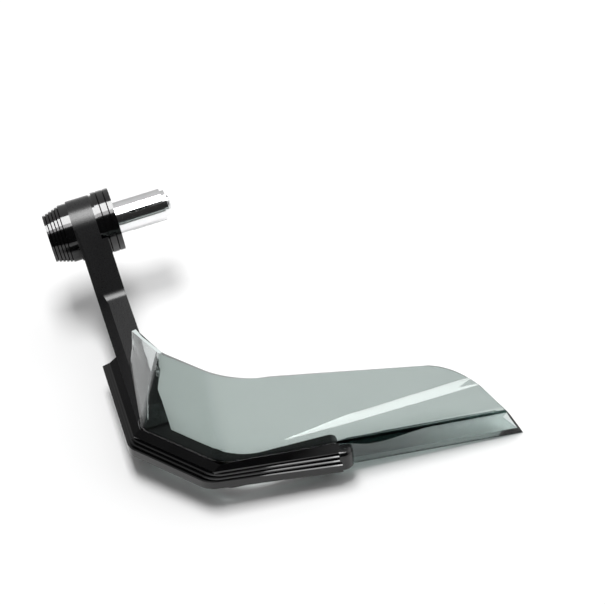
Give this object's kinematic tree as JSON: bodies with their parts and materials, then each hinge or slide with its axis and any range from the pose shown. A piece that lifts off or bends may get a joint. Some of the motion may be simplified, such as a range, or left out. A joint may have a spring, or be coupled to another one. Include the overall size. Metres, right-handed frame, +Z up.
{
  "type": "motorcycle hand guard",
  "caption": "Open-ended motorcycle hand guard: bar-end collet, moulded arm with lattice back, smoked bent wind shield and stepped gloss blade along its foot.",
  "frame": {"origin": "on the bar axis at the inner face of the spacer ring, where the end of the bar meets it", "axes": "+X along the collet into the bar (inboard), -Y to the front of the machine, +Z up"},
  "size_m": [0.1883, 0.2041, 0.0671],
  "materials": {
    "arm_plastic": "matte moulded",
    "smoked_sheet": "clear smoked",
    "blade_plastic": "gloss",
    "black_anodised": "black anodised",
    "bright_metal": "bright",
    "bright_steel": "bright",
    "bush_metal": "turned",
    "insert_brass": "turned"
  },
  "bodies": {
    "root": {"arm": "arm_plastic", "shield": "smoked_sheet", "guard_blade": "blade_plastic", "bar_end_cap": "black_anodised", "cap_washer": "bright_steel", "clamp_bolt": "bright_steel", "eye_bush": "bush_metal", "spacer_ring": "black_anodised", "collet_collar": "black_anodised", "collet_sleeve": "bright_metal", "collet_cone": "bright_metal", "arm_screw_rear": "bright_steel", "arm_rear_washer": "bright_steel", "arm_rear_insert": "insert_brass", "arm_screw_front": "bright_steel", "arm_front_washer": "bright_steel", "arm_front_insert": "insert_brass", "tab_screw": "bright_steel", "tab_washer": "bright_steel", "tab_insert": "insert_brass", "leg_screw": "bright_steel", "leg_washer": "bright_steel", "leg_insert": "insert_brass"}
  },
  "joints": []
}
